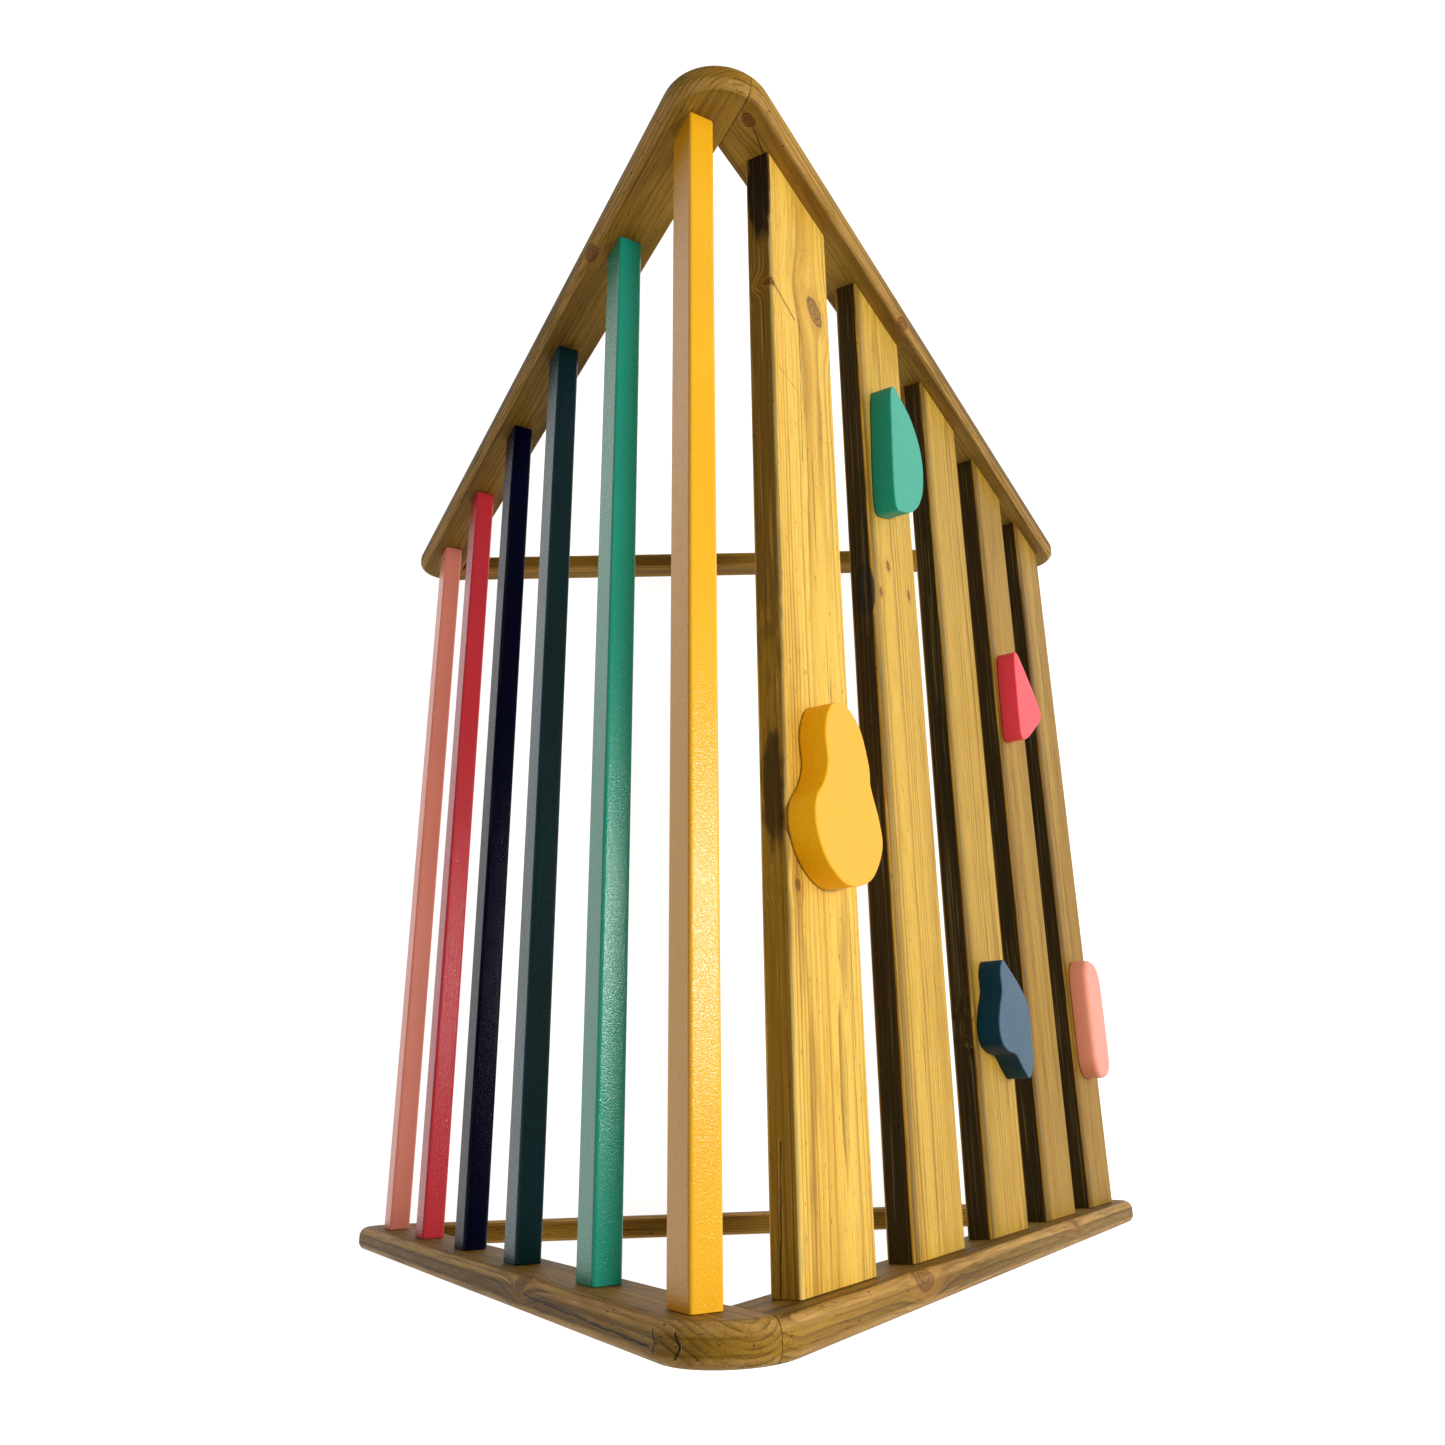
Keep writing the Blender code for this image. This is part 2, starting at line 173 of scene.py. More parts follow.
def scaled(tree, vector, factor):
    node = put(tree, "VectorMath", {0: vector, "Scale": factor}, operation="SCALE")
    return node.outputs["Vector"]


def half_sizes_away(tree, offset, size):
    """The length of an offset, counted in half-sizes along the three directions."""
    return vector_calc(tree, "LENGTH", vector_calc(tree, "DIVIDE", offset, size))


def ramp(tree, value, low, high, to_low=0.0, to_high=1.0):
    """Smooth step of a value from low..high to to_low..to_high. Low may be above high."""
    return put(tree, "MapRange", {"Value": value, "From Min": low, "From Max": high,
                                  "To Min": to_low, "To Max": to_high},
               interpolation_type="SMOOTHSTEP").outputs["Result"]


def blend(tree, factor, first, second, mode="MIX"):
    """Colour that goes from first to second as the factor goes from 0 to 1."""
    return put(tree, "Mix", {0: factor, 6: first, 7: second}, data_type="RGBA",
               blend_type=mode).outputs[2]


def stretched_noise(tree, vector, scale, seed=0.0, detail=2.0, roughness=0.5, distortion=0.0):
    """Noise with its own number of cells for each metre along the three directions.

    seed moves the pattern. It is a number, or a socket that gives the move itself.
    """
    if not isinstance(seed, bpy.types.NodeSocket):
        seed = (seed * 1.7 + 3.1, seed * 2.3 + 1.7, seed * 1.1 + 5.3)
    moved = vector_calc(tree, "ADD", vector_calc(tree, "MULTIPLY", vector, scale), seed)
    return put(tree, "TexNoise", {"Vector": moved, "Scale": 1.0, "Detail": detail,
                                  "Roughness": roughness, "Distortion": distortion}).outputs["Fac"]


def swing(tree, vector, scale, seed=0.0, detail=2.0):
    """Stretched noise that swings to both sides of zero."""
    return calc(tree, "SUBTRACT", stretched_noise(tree, vector, scale, seed, detail), 0.5)


def new_group(name, inputs, outputs):
    """Empty shader node group whose sockets are listed by kind, and the sockets inside it."""
    tree = bpy.data.node_groups.new(name, "ShaderNodeTree")
    for direction, kinds in (("INPUT", inputs), ("OUTPUT", outputs)):
        for kind, names in kinds.items():
            for socket in names:
                tree.interface.new_socket(socket, in_out=direction,
                                          socket_type="NodeSocket" + kind)
    given, out = tree.nodes.new("NodeGroupInput"), tree.nodes.new("NodeGroupOutput")
    return tree, given.outputs, out.inputs


def use(tree, group, values):
    """Outputs of a group that is placed in a material, with its inputs set or linked."""
    node = tree.nodes.new("ShaderNodeGroup")
    node.node_tree = group
    feed(tree, node.inputs, values)
    return node.outputs


# ---- Effects that several materials use ----------------------------
# Distances in metres, as the grain and object coordinates are.
RING_WANDER, RING_RIPPLE, CRACK_WOBBLE = 0.010, 0.0022, 0.003


def timber_figure():
    """Growth rings round a pith line that runs along the grain, with fibres, bands and streaks.

    A point's turn is its distance from the pith line, plus a slow wander and a small ripple,
    counted in ring spacings. Each ring darkens to its outer side and ends sharply.
    """
    tree, given, out = new_group(
        "timber_figure", {"Vector": ("Grain", "Pith", "Seed"), "Float": ("Spacing",)},
        {"Float": ("Rings", "Fibre", "Bands", "Patches", "Streaks", "Pale Lines", "Specks",
                   "Height")})
    grain, seed = given["Grain"], given["Seed"]
    wander = swing(tree, grain, (1.6, 11, 11), seed)
    ripple = swing(tree, grain, (9, 45, 45), seed)
    offset = vector_calc(tree, "SUBTRACT", grain, given["Pith"])
    distance = vector_calc(tree, "LENGTH", vector_calc(tree, "MULTIPLY", offset, (0, 1, 1)))
    distance = calc(tree, "MULTIPLY_ADD", wander, RING_WANDER, distance)
    distance = calc(tree, "MULTIPLY_ADD", ripple, RING_RIPPLE, distance)
    turn = calc(tree, "FRACT", calc(tree, "DIVIDE", distance, given["Spacing"]))
    late = calc(tree, "POWER", turn, 2.2)
    late = calc(tree, "MULTIPLY", late, ramp(tree, turn, 1.0, 0.93))
    strength = ramp(tree, stretched_noise(tree, grain, (2, 90, 90), seed), 0.30, 0.68, 0.25, 1.0)
    rings = calc(tree, "MULTIPLY", late, strength)
    fibre = stretched_noise(tree, grain, (28, 1100, 1100), seed, detail=3.0, roughness=0.62)
    bands = stretched_noise(tree, grain, (0.9, 20, 20), seed, detail=2.0)
    streaks = ramp(tree, stretched_noise(tree, grain, (5, 330, 330), seed, detail=1.0),
                   0.66, 0.76)
    patches = stretched_noise(tree, grain, (4, 38, 38), seed, detail=3.0)
    pale_lines = ramp(tree, stretched_noise(tree, grain, (7, 430, 430), seed, detail=1.0,
                                            distortion=0.3), 0.56, 0.72)
    specks = ramp(tree, stretched_noise(tree, grain, (130, 620, 620), seed, detail=0.0),
                  0.77, 0.82)
    height = calc(tree, "MULTIPLY_ADD", rings, -0.5, fibre)
    feed(tree, out, {"Rings": rings, "Fibre": fibre, "Bands": bands, "Patches": patches,
                     "Streaks": streaks, "Pale Lines": pale_lines, "Specks": specks,
                     "Height": height})
    return tree


def knot_swirl():
    """One knot: the grain parts round it, and inside it are tight dark rings.

    The grain is pulled towards the knot's centre by a bell curve of the distance, so that the
    lines beside it bulge outwards. Size holds the knot's half-sizes along, across and in depth.
    """
    tree, given, out = new_group(
        "knot_swirl",
        {"Vector": ("Grain", "Lines", "Centre", "Size"), "Float": ("Knots", "Rims", "Weight")},
        {"Vector": ("Lines",), "Float": ("Knots", "Rims")})
    offset = vector_calc(tree, "SUBTRACT", given["Grain"], given["Centre"])
    share = half_sizes_away(tree, offset, given["Size"])
    rough = swing(tree, given["Grain"], (160, 260, 260), 4.0)
    share = calc(tree, "MULTIPLY_ADD", rough, 0.5, share)
    bell = calc(tree, "EXPONENT", calc(tree, "MULTIPLY", calc(tree, "POWER", share, 2.0), -0.16))
    pull = scaled(tree, vector_calc(tree, "MULTIPLY", offset, (0, -0.85, -0.85)), bell)
    inside = ramp(tree, share, 1.1, 0.85)
    rings = calc(tree, "SINE", calc(tree, "MULTIPLY", share, 17.0))
    dark = calc(tree, "MULTIPLY", inside, calc(tree, "MULTIPLY_ADD", rings, 0.26, 0.72))
    dark = calc(tree, "MULTIPLY", dark, given["Weight"])
    rim = calc(tree, "MULTIPLY", ramp(tree, share, 2.6, 0.8), given["Weight"])
    feed(tree, out, {"Lines": vector_calc(tree, "ADD", given["Lines"], pull),
                     "Knots": calc(tree, "MAXIMUM", given["Knots"], dark),
                     "Rims": calc(tree, "MAXIMUM", given["Rims"], rim)})
    return tree


def crack_line():
    """One fine crack or scratch: a thin dark line between two points of the grain space.

    The distance to the segment comes from the point's share along it, held between 0 and 1.
    A small wobble of the point keeps the line from being ruled.
    """
    tree, given, out = new_group(
        "crack_line",
        {"Vector": ("Grain", "Start", "Run"), "Float": ("Width", "Cracks", "Weight")},
        {"Float": ("Cracks",)})
    grain, run = given["Grain"], given["Run"]
    wobble = calc(tree, "MULTIPLY", swing(tree, grain, (60, 60, 60), 2.0), CRACK_WOBBLE)
    wobble = put(tree, "CombineXYZ", {"Y": wobble, "Z": wobble}).outputs["Vector"]
    offset = vector_calc(tree, "SUBTRACT", grain, given["Start"])
    offset = vector_calc(tree, "ADD", offset, wobble)
    share = calc(tree, "DIVIDE", vector_calc(tree, "DOT_PRODUCT", offset, run),
                 vector_calc(tree, "DOT_PRODUCT", run, run), clamp=True)
    nearest = scaled(tree, run, share)
    away = vector_calc(tree, "LENGTH", vector_calc(tree, "SUBTRACT", offset, nearest))
    line = ramp(tree, calc(tree, "DIVIDE", away, given["Width"]), 1.1, 0.3)
    line = calc(tree, "MULTIPLY", line, given["Weight"])
    feed(tree, out, {"Cracks": calc(tree, "MAXIMUM", given["Cracks"], line)})
    return tree


def paint_skin():
    """Rolled paint: a close stipple, slow shade changes and faint grain showing through.

    Each is stretched noise: 1.6 mm and 0.6 mm cells, cells of 140 mm, and cells along the grain.
    """
    tree, given, out = new_group(
        "paint_skin", {"Vector": ("Place", "Grain Scale")},
        {"Float": ("Stipple", "Shade", "Under Grain")})
    place = given["Place"]
    coarse = stretched_noise(tree, place, (620, 620, 620), 1.0, detail=1.5)
    fine = stretched_noise(tree, place, (1700, 1700, 1700), 2.0, detail=1.0)
    feed(tree, out, {
        "Stipple": calc(tree, "MULTIPLY_ADD", fine, 0.4, coarse),
        "Shade": stretched_noise(tree, place, (7, 7, 7), 3.0),
        "Under Grain": stretched_noise(tree, place, given["Grain Scale"], 4.0)})
    return tree


FIGURE, SWIRL, CRACK, SKIN = timber_figure(), knot_swirl(), crack_line(), paint_skin()


# ---- Materials -----------------------------------------------------
# The first is the dark of the planks' smudges and of the painted contact shade at the holds' feet.
SMUDGE_AND_CONTACT_SHADE, CRACK_TONE = srgb(38, 30, 20), srgb(46, 30, 14)
KNOT_TONE, KNOT_RIM = srgb(84, 50, 18), srgb(160, 104, 36)
SUNLIT = (1.0, 0.93, 0.62, 1.0)                         # what pale fibres are lifted towards
# The last is painted shade, for the drive recesses and the rings round the countersinks.
ZINC, DULL_ZINC, SCREW_SHADE = srgb(176, 172, 160), srgb(112, 104, 90), srgb(34, 28, 20)
RING_WEIGHT, TIMBER_ROUGHNESS, TIMBER_SHEEN = 0.85, 0.55, 0.09
TIMBER_RELIEF, PAINT_RELIEF = 0.0004, 0.0005            # heights of the bumps
CONTACT_SHADE_REACH = 0.0026                                     # of the painted contact shade, up a hold's side from its foot


def shaded(name):
    """New material, its tree and its Principled shader."""
    made = bpy.data.materials.new(name)
    made.use_nodes = True
    return made, made.node_tree, made.node_tree.nodes["Principled BSDF"]


def bumped(tree, height, relief, strength):
    """Normal of a surface whose height runs from 0 to relief, at a part of its full strength."""
    bump = put(tree, "Bump", {"Strength": strength, "Distance": relief, "Height": height})
    return bump.outputs["Normal"]


def knotted(tree, grain, knots):
    """The grain coordinates bent round each knot in turn, and the masks of knots and rims."""
    bent = {"Lines": grain, "Knots": 0.0, "Rims": 0.0}
    for centre, size, weight in knots:
        outputs = use(tree, SWIRL, bent | {"Grain": grain, "Centre": centre, "Size": size,
                                           "Weight": weight})
        bent = {name: outputs[name] for name in bent}
    return bent.values()


def cracked(tree, grain, cracks):
    """The mask of all the cracks of a board."""
    mask = 0.0
    for start, run, width, weight in cracks:
        mask = use(tree, CRACK, {"Grain": grain, "Start": start, "Run": run, "Width": width,
                                 "Cracks": mask, "Weight": weight})["Cracks"]
    return mask


def stained_and_shaded_edge(tree, colour, grain, part, figure, seed, edge, pale_edge, creep):
    """Colour with the edge towards the ridge darkened up to a ragged border, partly by dark stain
    and partly by painted shade.

    The darkening is thinner on the pale lines of the grain, and reaches creep over the face.
    """
    ragged = calc(tree, "MULTIPLY", swing(tree, grain, (5, 60, 60), seed, 3.0), 0.9)
    if creep:
        near = ramp(tree, split(tree, grain)["Y"], creep - PLANK_WIDTH / 2, -PLANK_WIDTH / 2,
                    0.0, 0.85)
        patchy = ramp(tree, calc(tree, "ADD", ragged, 0.5), 0.25, 0.65, 0.45, 1.0)
        colour = blend(tree, calc(tree, "MULTIPLY", near, patchy), colour, edge)
    covered = ramp(tree, calc(tree, "ADD", part["Y"], ragged), 0.35, 0.65, 0.0, 0.94)
    thin = calc(tree, "MULTIPLY", figure["Pale Lines"], 0.6)
    return blend(tree, covered, colour, blend(tree, thin, edge, pale_edge))


def smudged(tree, colour, grain, figure, seed, stains):
    """Colour with ragged dark smudges, thinner on the pale lines of the grain."""
    for centre, size, weight in stains:
        share = half_sizes_away(tree, vector_calc(tree, "SUBTRACT", grain, centre), size)
        ragged = swing(tree, grain, (35, 160, 160), seed + 1, 3.0)
        share = calc(tree, "MULTIPLY_ADD", ragged, 1.1, share)
        thin = calc(tree, "MULTIPLY_ADD", figure["Pale Lines"], -0.55, 1.0)
        covered = calc(tree, "MULTIPLY", ramp(tree, share, 1.15, 0.75, 0.0, weight), thin)
        colour = blend(tree, covered, colour, SMUDGE_AND_CONTACT_SHADE)
    return colour


def arris_shade_and_highlight(tree, colour, grain, part, figure, seed, dark, outline, arris):
    """Colour with a painted shadow line where each arris begins, and a patchy tint of the arris's
    own colour along it, a painted highlight where that colour is paler.
    """
    line = calc(tree, "MULTIPLY", ramp(tree, part["X"], 0.02, 0.14),
                ramp(tree, part["X"], 0.50, 0.24, 0.0, outline))
    line = calc(tree, "MULTIPLY", line, ramp(tree, figure["Patches"], 0.35, 0.6))
    arris_mask = ramp(tree, stretched_noise(tree, grain, (14, 220, 220), seed), 0.30, 0.60, 0.35, 0.95)
    arris_mask = calc(tree, "MULTIPLY", ramp(tree, part["X"], 0.25, 0.85), arris_mask)
    return blend(tree, arris_mask, blend(tree, line, colour, dark), arris)


def grain_lines(tree, colour, figure, dark):
    """Colour with the rings, dark fibres, streaks and specks drawn in, and pale fibres lit."""
    fibre = ramp(tree, figure["Fibre"], 0.46, 0.74, 0.0, 0.5)
    lines = fibre
    for name, weight in (("Rings", RING_WEIGHT), ("Streaks", 0.7), ("Specks", 0.85)):
        lines = calc(tree, "MAXIMUM", lines, calc(tree, "MULTIPLY", figure[name], weight))
    pale = ramp(tree, figure["Fibre"], 0.50, 0.28, 0.0, 0.25)
    return blend(tree, pale, blend(tree, lines, colour, dark), SUNLIT, "SOFT_LIGHT")


def timber(name, light, dark, band, seed, arris, end, pith=(0.0, 0.02, -0.05), spacing=0.0035,
           outline=0.0, fade=0.0, edge=None, pale_edge=None, creep=0.0, knots=(), cracks=(),
           stains=()):
    """Stained softwood. arris, end and edge are the colours of a board's rounded corners, its
    end grain and its edge towards the ridge. arris is a painted highlight where it is paler than
    the board, and edge is partly dark stain, partly painted shade. outline is the weight of a
    painted shadow line where an arris begins, fade how much darker a leg is away from the apex,
    and creep how far the edge's darkening reaches over the face. A knot is (centre, half-sizes,
    weight), a crack (start, run, width, weight) and a stain (centre, half-sizes, weight), all in
    the board's own directions.
    """
    made, tree, shader = shaded(name)
    grain, part = attribute(tree, "grain"), split(tree, attribute(tree, "part"))
    lines, knot_mask, rims = knotted(tree, grain, knots)
    crack_mask = cracked(tree, grain, cracks)
    figure = use(tree, FIGURE, {"Grain": lines, "Pith": pith, "Spacing": spacing,
                                "Seed": (seed * 1.7, seed * 2.3, seed * 1.1)})
    colour = blend(tree, ramp(tree, figure["Bands"], 0.40, 0.66, 0.0, 0.75), light, band)
    colour = blend(tree, ramp(tree, figure["Patches"], 0.56, 0.74, 0.0, 0.45), colour, dark)
    colour = blend(tree, ramp(tree, split(tree, grain)["X"], 0.03, 0.34, 0.0, fade), colour, dark)
    # The edge towards the ridge: dark stain with painted shade.
    if edge:
        colour = stained_and_shaded_edge(tree, colour, grain, part, figure, seed, edge, pale_edge, creep)
    colour = blend(tree, ramp(tree, part["Z"], 0.35, 0.95, 0.0, 0.75), colour, end)
    # Painted shadow line where each arris begins, and painted highlight along the arris where its
    # tone is paler.
    colour = arris_shade_and_highlight(tree, colour, grain, part, figure, seed, dark, outline, arris)
    colour = grain_lines(tree, colour, figure, dark)
    colour = smudged(tree, colour, grain, figure, seed, stains)
    if knots:
        colour = blend(tree, calc(tree, "MULTIPLY", rims, 0.38), colour, KNOT_RIM)
        colour = blend(tree, knot_mask, colour, KNOT_TONE)
    height = figure["Height"]
    if cracks:
        colour = blend(tree, crack_mask, colour, CRACK_TONE)
        height = calc(tree, "SUBTRACT", height, calc(tree, "MULTIPLY", crack_mask, 1.5))
    feed(tree, shader.inputs, {
        "Base Color": colour, "Specular IOR Level": TIMBER_SHEEN,
        "Roughness": ramp(tree, figure["Fibre"], 0.3, 0.7, TIMBER_ROUGHNESS - 0.07,
                          TIMBER_ROUGHNESS + 0.10),
        "Normal": bumped(tree, height, TIMBER_RELIEF, 0.35)})
    return made


def paint(name, face, side, sheen, roughness=0.19, stipple=0.55, foot=None):
    """Rolled semi-gloss paint, with a tone for a piece's faces and one for its side, which are
    the same paint painted lit and shaded.

    sheen is the specular level, stipple the strength of the bumps, and foot the depth of a
    hold's foot, above which a contact shade is painted up its sides.
    """
    made, tree, shader = shaded(name)
    place = put(tree, "TexCoord").outputs["Object"]
    part = split(tree, attribute(tree, "part"))
    skin = use(tree, SKIN, {"Place": place, "Grain Scale": (260.0, 9.0, 260.0)})
    shade = toned(side, 0.66)
    # Painted light and shade: a rung's edge towards the ridge is painted lit and its other faces
    # shaded, and a hold's front is painted paler, with a painted sheen, than its shaded sides.
    colour = blend(tree, part["Y"], face, side)
    colour = blend(tree, ramp(tree, skin["Shade"], 0.35, 0.68, 0.0, 0.16), colour, shade)
    colour = blend(tree, ramp(tree, skin["Stipple"], 0.56, 0.38, 0.0, 0.30), colour, shade)
    # Paler along the rounded corners, patchy with the grain under the paint.
    arris_mask = calc(tree, "MULTIPLY", part["X"], ramp(tree, skin["Under Grain"], 0.45, 0.62, 0, 0.16))
    colour = blend(tree, arris_mask, colour, toned(face, 1.0, 0.10))
    # Painted contact shade up a hold's sides from its foot.
    if foot is not None:
        depth = split(tree, attribute(tree, "grain"))["Z"]
        contact_shade = ramp(tree, depth, foot + CONTACT_SHADE_REACH, foot + HOLD_FOOT_EASE, 0.0, 0.75)
        colour = blend(tree, contact_shade, colour, SMUDGE_AND_CONTACT_SHADE)
    height = calc(tree, "MULTIPLY_ADD", skin["Under Grain"], 0.5, skin["Stipple"])
    feed(tree, shader.inputs, {
        "Base Color": colour, "Specular IOR Level": sheen,
        "Roughness": ramp(tree, skin["Stipple"], 0.4, 1.0, roughness - 0.05, roughness + 0.12),
        "Normal": bumped(tree, height, PAINT_RELIEF, stipple)})
    return made


def steel():
    """Dulled zinc, with painted shade in the drive recess and round the countersink."""
    made, tree, shader = shaded("screw_steel")
    place = put(tree, "TexCoord").outputs["Object"]
    part = split(tree, attribute(tree, "part"))
    dull = stretched_noise(tree, place, (900, 900, 900), 1.0, detail=3.0)
    colour = blend(tree, ramp(tree, dull, 0.35, 0.7, 0.0, 0.6), ZINC, DULL_ZINC)
    colour = blend(tree, part["X"], colour, SCREW_SHADE)
    feed(tree, shader.inputs, {"Base Color": colour,
                               "Roughness": ramp(tree, dull, 0.3, 0.7, 0.30, 0.52),
                               "Metallic": calc(tree, "SUBTRACT", 1.0, part["X"])})
    return made


# ---- Surfaces ------------------------------------------------------
SHARP_TURN = math.radians(38)                           # shading breaks at a sharper edge


def arc(centre, radius, start, end, steps):
    """Points on a circle: centre + radius (cos t, sin t), t running evenly from start to end."""
    t = np.linspace(start, end, steps + 1)
    return np.stack([centre[0] + radius * np.cos(t), centre[1] + radius * np.sin(t)], axis=1)


def oriented(points, *edge_values):
    """The outline run anticlockwise, with the values that belong to its edges."""
    after = np.roll(points, -1, axis=0)
    area = np.sum(points[:, 0] * after[:, 1] - points[:, 1] * after[:, 0])
    if area > 0:
        return (points, *edge_values)
    return (points[::-1], *(np.roll(values[::-1], -1) for values in edge_values))


def supported(points, radii, inset, reach=0.0012):
    """Adds a point near both ends of each long edge, so that a change of arris stays short.

    At a sharp corner the mitre of the moved edges slides along each of them by
    (other move - own move cos t) / sin t, t being the turn there; the added point lies reach
    beyond that. Gives the points and the mask that spread() uses for the edges' values.
    """
    step = np.roll(points, -1, axis=0) - points
    length = np.linalg.norm(step, axis=1)
    along = step / length[:, None]
    before = np.roll(along, 1, axis=0)
    cosine = np.sum(along * before, axis=1)
    sine = before[:, 0] * along[:, 1] - before[:, 1] * along[:, 0]
    own, other = radii + inset, np.roll(radii, 1) + inset
    sharp = cosine < 0.9
    safe = np.where(sharp, sine, 1.0)
    start = reach + np.where(sharp, np.maximum((other - own * cosine) / safe, 0), 0)
    end = reach + np.where(sharp, np.maximum((own - other * cosine) / safe, 0), 0)
    end = np.roll(end, -1)
    grid = np.stack([points, points + start[:, None] * along,
                     points + (length - end)[:, None] * along], axis=1)
    long = length > start + end + 2 * reach
    keep = np.stack([np.ones(len(points), bool), long, long], axis=1)
    return grid[keep], keep


def spread(values, keep):
    """For each point of a supported outline, the value of the edge before it and after it."""
    before = np.stack([np.roll(values, 1), values, values], axis=1)[keep]
    return before, np.repeat(values[:, None], 3, axis=1)[keep]


def outward_normals(points):
    """Unit normals of the edges before and after each point of an anticlockwise outline, the
    unit normal between them, and the cosine of the turn there."""
    step = np.roll(points, -1, axis=0) - points
    step /= np.linalg.norm(step, axis=1)[:, None]
    after = np.stack([step[:, 1], -step[:, 0]], axis=1)
    before = np.roll(after, 1, axis=0)
    shared = after + before
    shared /= np.linalg.norm(shared, axis=1)[:, None]
    return before, after, shared, np.sum(after * before, axis=1)


def mitred(outline, arrises, low_arris=None, inset=CAP_INSET):
    """A plan for slab(): the outline's edges move in, and neighbours' moves meet in a mitre.

    arrises is one radius, or one for each edge; low_arris is the radius at the lower face.
    Between unit normals m and n with cosine c, moves a and b shift the corner by
    ((a - c b) m + (b - c a) n) / (1 - c^2). Gives the plan and its mask for spread().
    """
    outline = np.asarray(outline, float)
    points, radii = oriented(outline, np.broadcast_to(np.asarray(arrises, float), len(outline)))
    low = radii if low_arris is None else np.full(len(radii), low_arris)
    base, keep = supported(points, np.maximum(radii, low), inset)
    arris = {-1: spread(low, keep), 1: spread(radii, keep)}
    normal_before, normal_after, shared, cosine = outward_normals(base)

    def plan(cut, extra, face):
        before, after = arris[face]
        move_before, move_after = before * cut + extra, after * cut + extra
        middle = (move_before + move_after) / 2
        gentle = shared * (middle / np.sqrt((1 + cosine) / 2))[:, None]
        room = np.maximum(1 - cosine ** 2, 1e-9)
        sharp = ((move_before - cosine * move_after) / room)[:, None] * normal_before \
            + ((move_after - cosine * move_before) / room)[:, None] * normal_after
        return base - np.where((cosine > 0.9)[:, None], gentle, sharp), (before + after) / 2

    return plan, keep


def object_from(name, verts, faces, attributes, material):
    """Mesh object at the origin from arrays, with its vector attributes and its material."""
    mesh = bpy.data.meshes.new(name)
    mesh.from_pydata(verts.tolist(), [], faces)
    for key, values in attributes.items():
        layer = mesh.attributes.new(key, "FLOAT_VECTOR", "POINT")
        layer.data.foreach_set("vector", np.asarray(values, np.float32).ravel())
    mesh.materials.append(material)
    mesh.shade_smooth()
    mesh.set_sharp_from_angle(angle=SHARP_TURN)
    mesh.update()
    piece = bpy.data.objects.new(name, mesh)
    bpy.context.scene.collection.objects.link(piece)
    return piece


def grid_faces(rows, columns):
    """Quads of a closed strip grid, numbered row by row, wound to face outward."""
    i, j = np.meshgrid(np.arange(rows - 1), np.arange(columns), indexing="ij")
    k = (j + 1) % columns
    quads = np.stack([i * columns + j, i * columns + k, (i + 1) * columns + k,
                      (i + 1) * columns + j], axis=-1)
    return quads.reshape(-1, 4).tolist()


def slab(name, plan, half, place, grain_axes, material, steps=6, side=0.0, corner=0.0,
         rim=1.0, inset=CAP_INSET):
    """A flat piece with a rounded rim: the outline carried through a quarter-round profile.

    Ring k of the rim has the turn t = k/steps of 90 degrees. It is moved in from the outline by
    r (1 - cos t) and lies r (1 - sin t) below the face, where r is the arris of each point.
    plan(cut, extra, face) gives the outline moved in by cut times its arrises plus extra, and
    those arrises; face is -1 for the lower face and 1 for the upper one. place is an origin and
    the axes U, V and W, and half is half the thickness along W.
    The attribute grain is the place in grain_axes, an origin and the board's own directions.
    The attribute part is (arris, edge towards the ridge or side, end grain): the arris is the rim
    times rim, or corner on the walls, and the second value is side on the walls.
    """
    turns = [math.pi / 2 * k / steps for k in range(steps + 1)]
    rings = [(-1, math.pi / 2, inset)] + [(-1, turn, 0.0) for turn in reversed(turns)]
    rings += [(1, turn, 0.0) for turn in turns] + [(1, math.pi / 2, inset)]
    rows = []
    for face, turn, extra in rings:
        flat, arris = plan(1 - math.cos(turn), extra, face)
        rows.append(np.column_stack([flat, face * (half - arris * (1 - math.sin(turn)))]))
    local = np.stack(rows)
    count = local.shape[1]
    origin, axes = np.asarray(place[0]), np.stack(place[1:])
    verts = (origin + local @ axes).reshape(-1, 3)

    grain_origin, grain_frame = np.asarray(grain_axes[0]), np.stack(grain_axes[1:])
    grain = (verts - grain_origin) @ grain_frame.T
    bend = np.array([math.sin(2 * turn) for _, turn, _ in rings])[:, None]
    cap = np.array([math.sin(turn) ** 2 for _, turn, _ in rings])[:, None]
    shared = outward_normals(plan(0.0, 0.0, 1)[0])[2]
    wall_end = np.abs(shared @ axes[:2] @ grain_frame[0])
    cap_end = abs(float(axes[2] @ grain_frame[0]))
    part = np.zeros((len(rows), count, 3))
    part[:, :, 0] = np.maximum(bend * rim, corner * (1 - cap))
    part[:, :, 1] = side * (1 - cap)
    part[:, :, 2] = wall_end * (1 - cap) + cap_end * cap

    faces = grid_faces(len(rows), count)
    last = (len(rows) - 1) * count
    faces.append(list(range(count))[::-1])
    faces.append([last + i for i in range(count)])
    if np.linalg.det(axes) < 0:
        faces = [face[::-1] for face in faces]
    return object_from(name, verts, faces, {"grain": grain, "part": part.reshape(-1, 3)},
                       material)


def finish_piece(piece, node=None):
    """The piece rides on the wall and stands for its solid, if any."""
    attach(piece, "root")
    if node:
        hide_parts(node)


# ---- Frames --------------------------------------------------------
# How far the points lie from a leg's corners that keep each change of arris short.
ROUNDING_SUPPORT, APEX_SUPPORT, CROTCH_SUPPORT, FOOT_SUPPORT = 0.014, 0.005, 0.006, 0.020


def frame_plane(end):
    """The origin and axes of a frame's middle plane: X, up and along the rungs."""
    return ACROSS * END_SIGN[end] * FRAME_MIDDLE, (1, 0, 0), (0, 0, 1), ACROSS


